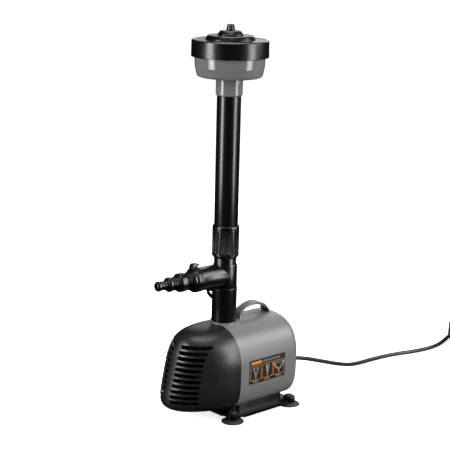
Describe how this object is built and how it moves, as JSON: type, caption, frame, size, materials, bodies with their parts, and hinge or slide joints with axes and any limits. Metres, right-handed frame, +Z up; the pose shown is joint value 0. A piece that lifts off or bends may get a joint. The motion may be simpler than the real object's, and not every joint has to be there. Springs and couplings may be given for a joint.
{
  "type": "submersible fountain pump",
  "caption": "Submersible pond pump with a slotted strainer, suction-cup base, side outlet with stepped hose adapter, telescopic riser and fountain head.",
  "frame": {"origin": "on the floor, in the middle of the four suction cups", "axes": "+Z up along the riser, +X towards the cord, -X towards the intake strainer"},
  "size_m": [0.759, 0.2226, 0.5587],
  "materials": {
    "casing_grey": "satin",
    "head_grey": "gloss",
    "cover_black": "satin",
    "base_black": "satin",
    "riser_black": "gloss",
    "cap_black": "gloss",
    "fitting_black": "gloss",
    "cup_rubber": "satin",
    "cord_rubber": "matte",
    "plug_black": "matte",
    "plug_metal": "polished",
    "tie_black": "satin",
    "resin": "matte",
    "lamination_steel": "satin",
    "copper": "enamelled",
    "chamber_grey": "satin",
    "seal_rubber": "matte",
    "ceramic_white": "polished",
    "impeller_white": "satin",
    "ferrite": "ground",
    "screw_steel": "satin",
    "label_print": "printed film"
  },
  "bodies": {
    "root": {"motor_casing": "casing_grey", "motor_block": "resin", "stator_core": "lamination_steel", "windings": "copper", "pump_chamber": "chamber_grey", "chamber_seal": "seal_rubber", "motor_seal": "seal_rubber", "chamber_lid": "chamber_grey", "chamber_screws": "screw_steel", "front_bushing": "seal_rubber", "rear_bushing": "seal_rubber", "shaft": "ceramic_white", "thrust_washers": "ceramic_white", "base": "base_black", "base_screws": "screw_steel", "suction_cup_1": "cup_rubber", "suction_cup_2": "cup_rubber", "suction_cup_3": "cup_rubber", "suction_cup_4": "cup_rubber", "lower_tube": "riser_black", "tube_latch": "cover_black", "label_plate": "label_print", "cord_gland": "plug_black", "strain_relief": "cord_rubber", "cord": "cord_rubber", "cord_coil": "cord_rubber", "cord_tie_1": "tie_black", "cord_tie_2": "tie_black", "plug_lead": "cord_rubber", "plug_body": "plug_black", "plug_pins": "plug_metal"},
    "rotor": {"impeller": "impeller_white", "rotor_magnet": "ferrite"},
    "cover": {"strainer_cover": "cover_black"},
    "tee": {"tee": "riser_black"},
    "valve": {"hose_adapter": "fitting_black", "valve_lever": "fitting_black"},
    "collar": {"union_collar": "riser_black"},
    "riser": {"telescopic_pipe": "riser_black"},
    "head": {"head_sleeve": "head_grey", "bowl": "head_grey"},
    "lift": {"lift_ring": "chamber_grey"},
    "cap": {"cap": "cap_black", "cap_tier_two": "cap_black", "cap_tier_three": "cap_black"},
    "tip": {"nozzle_tip": "cap_black"}
  },
  "joints": [
    {"name": "rotor_spin", "type": "hinge", "parent": "root", "child": "rotor", "pos_m": [0, 0, 0.072], "axis": [1, 0, 0], "continuous": true},
    {"name": "cover_off", "type": "slide", "parent": "root", "child": "cover", "axis": [-1, 0, 0], "range_m": [0, 0.06]},
    {"name": "tee_turn", "type": "hinge", "parent": "root", "child": "tee", "pos_m": [-0.0345, 0, 0.186], "axis": [0, 0, 1], "range_deg": [-170, 170]},
    {"name": "valve_turn", "type": "hinge", "parent": "tee", "child": "valve", "pos_m": [-0.08438, 0.00349, 0.2037], "axis": [-0.9976, 0.0698, 0], "range_deg": [0, 90]},
    {"name": "collar_turn", "type": "hinge", "parent": "tee", "child": "collar", "pos_m": [-0.0345, 0, 0.25], "axis": [0, 0, 1], "range_deg": [0, 90]},
    {"name": "pipe_extend", "type": "slide", "parent": "tee", "child": "riser", "axis": [0, 0, 1], "range_m": [0, 0.1]},
    {"name": "head_turn", "type": "hinge", "parent": "riser", "child": "head", "pos_m": [-0.0345, 0, 0.47], "axis": [0, 0, 1], "range_deg": [-180, 180]},
    {"name": "cap_lift", "type": "slide", "parent": "head", "child": "lift", "axis": [0, 0, 1], "range_m": [0, 0.004]},
    {"name": "cap_turn", "type": "hinge", "parent": "lift", "child": "cap", "pos_m": [-0.0345, 0, 0.52], "axis": [0, 0, 1], "range_deg": [0, 360]},
    {"name": "tip_turn", "type": "hinge", "parent": "cap", "child": "tip", "pos_m": [-0.0345, 0, 0.549], "axis": [0, 0, 1], "range_deg": [0, 270]}
  ],
  "couplings": [
    {"joint": "cap_lift", "follows": "cap_turn", "m_per_rad": 0.00063662}
  ]
}
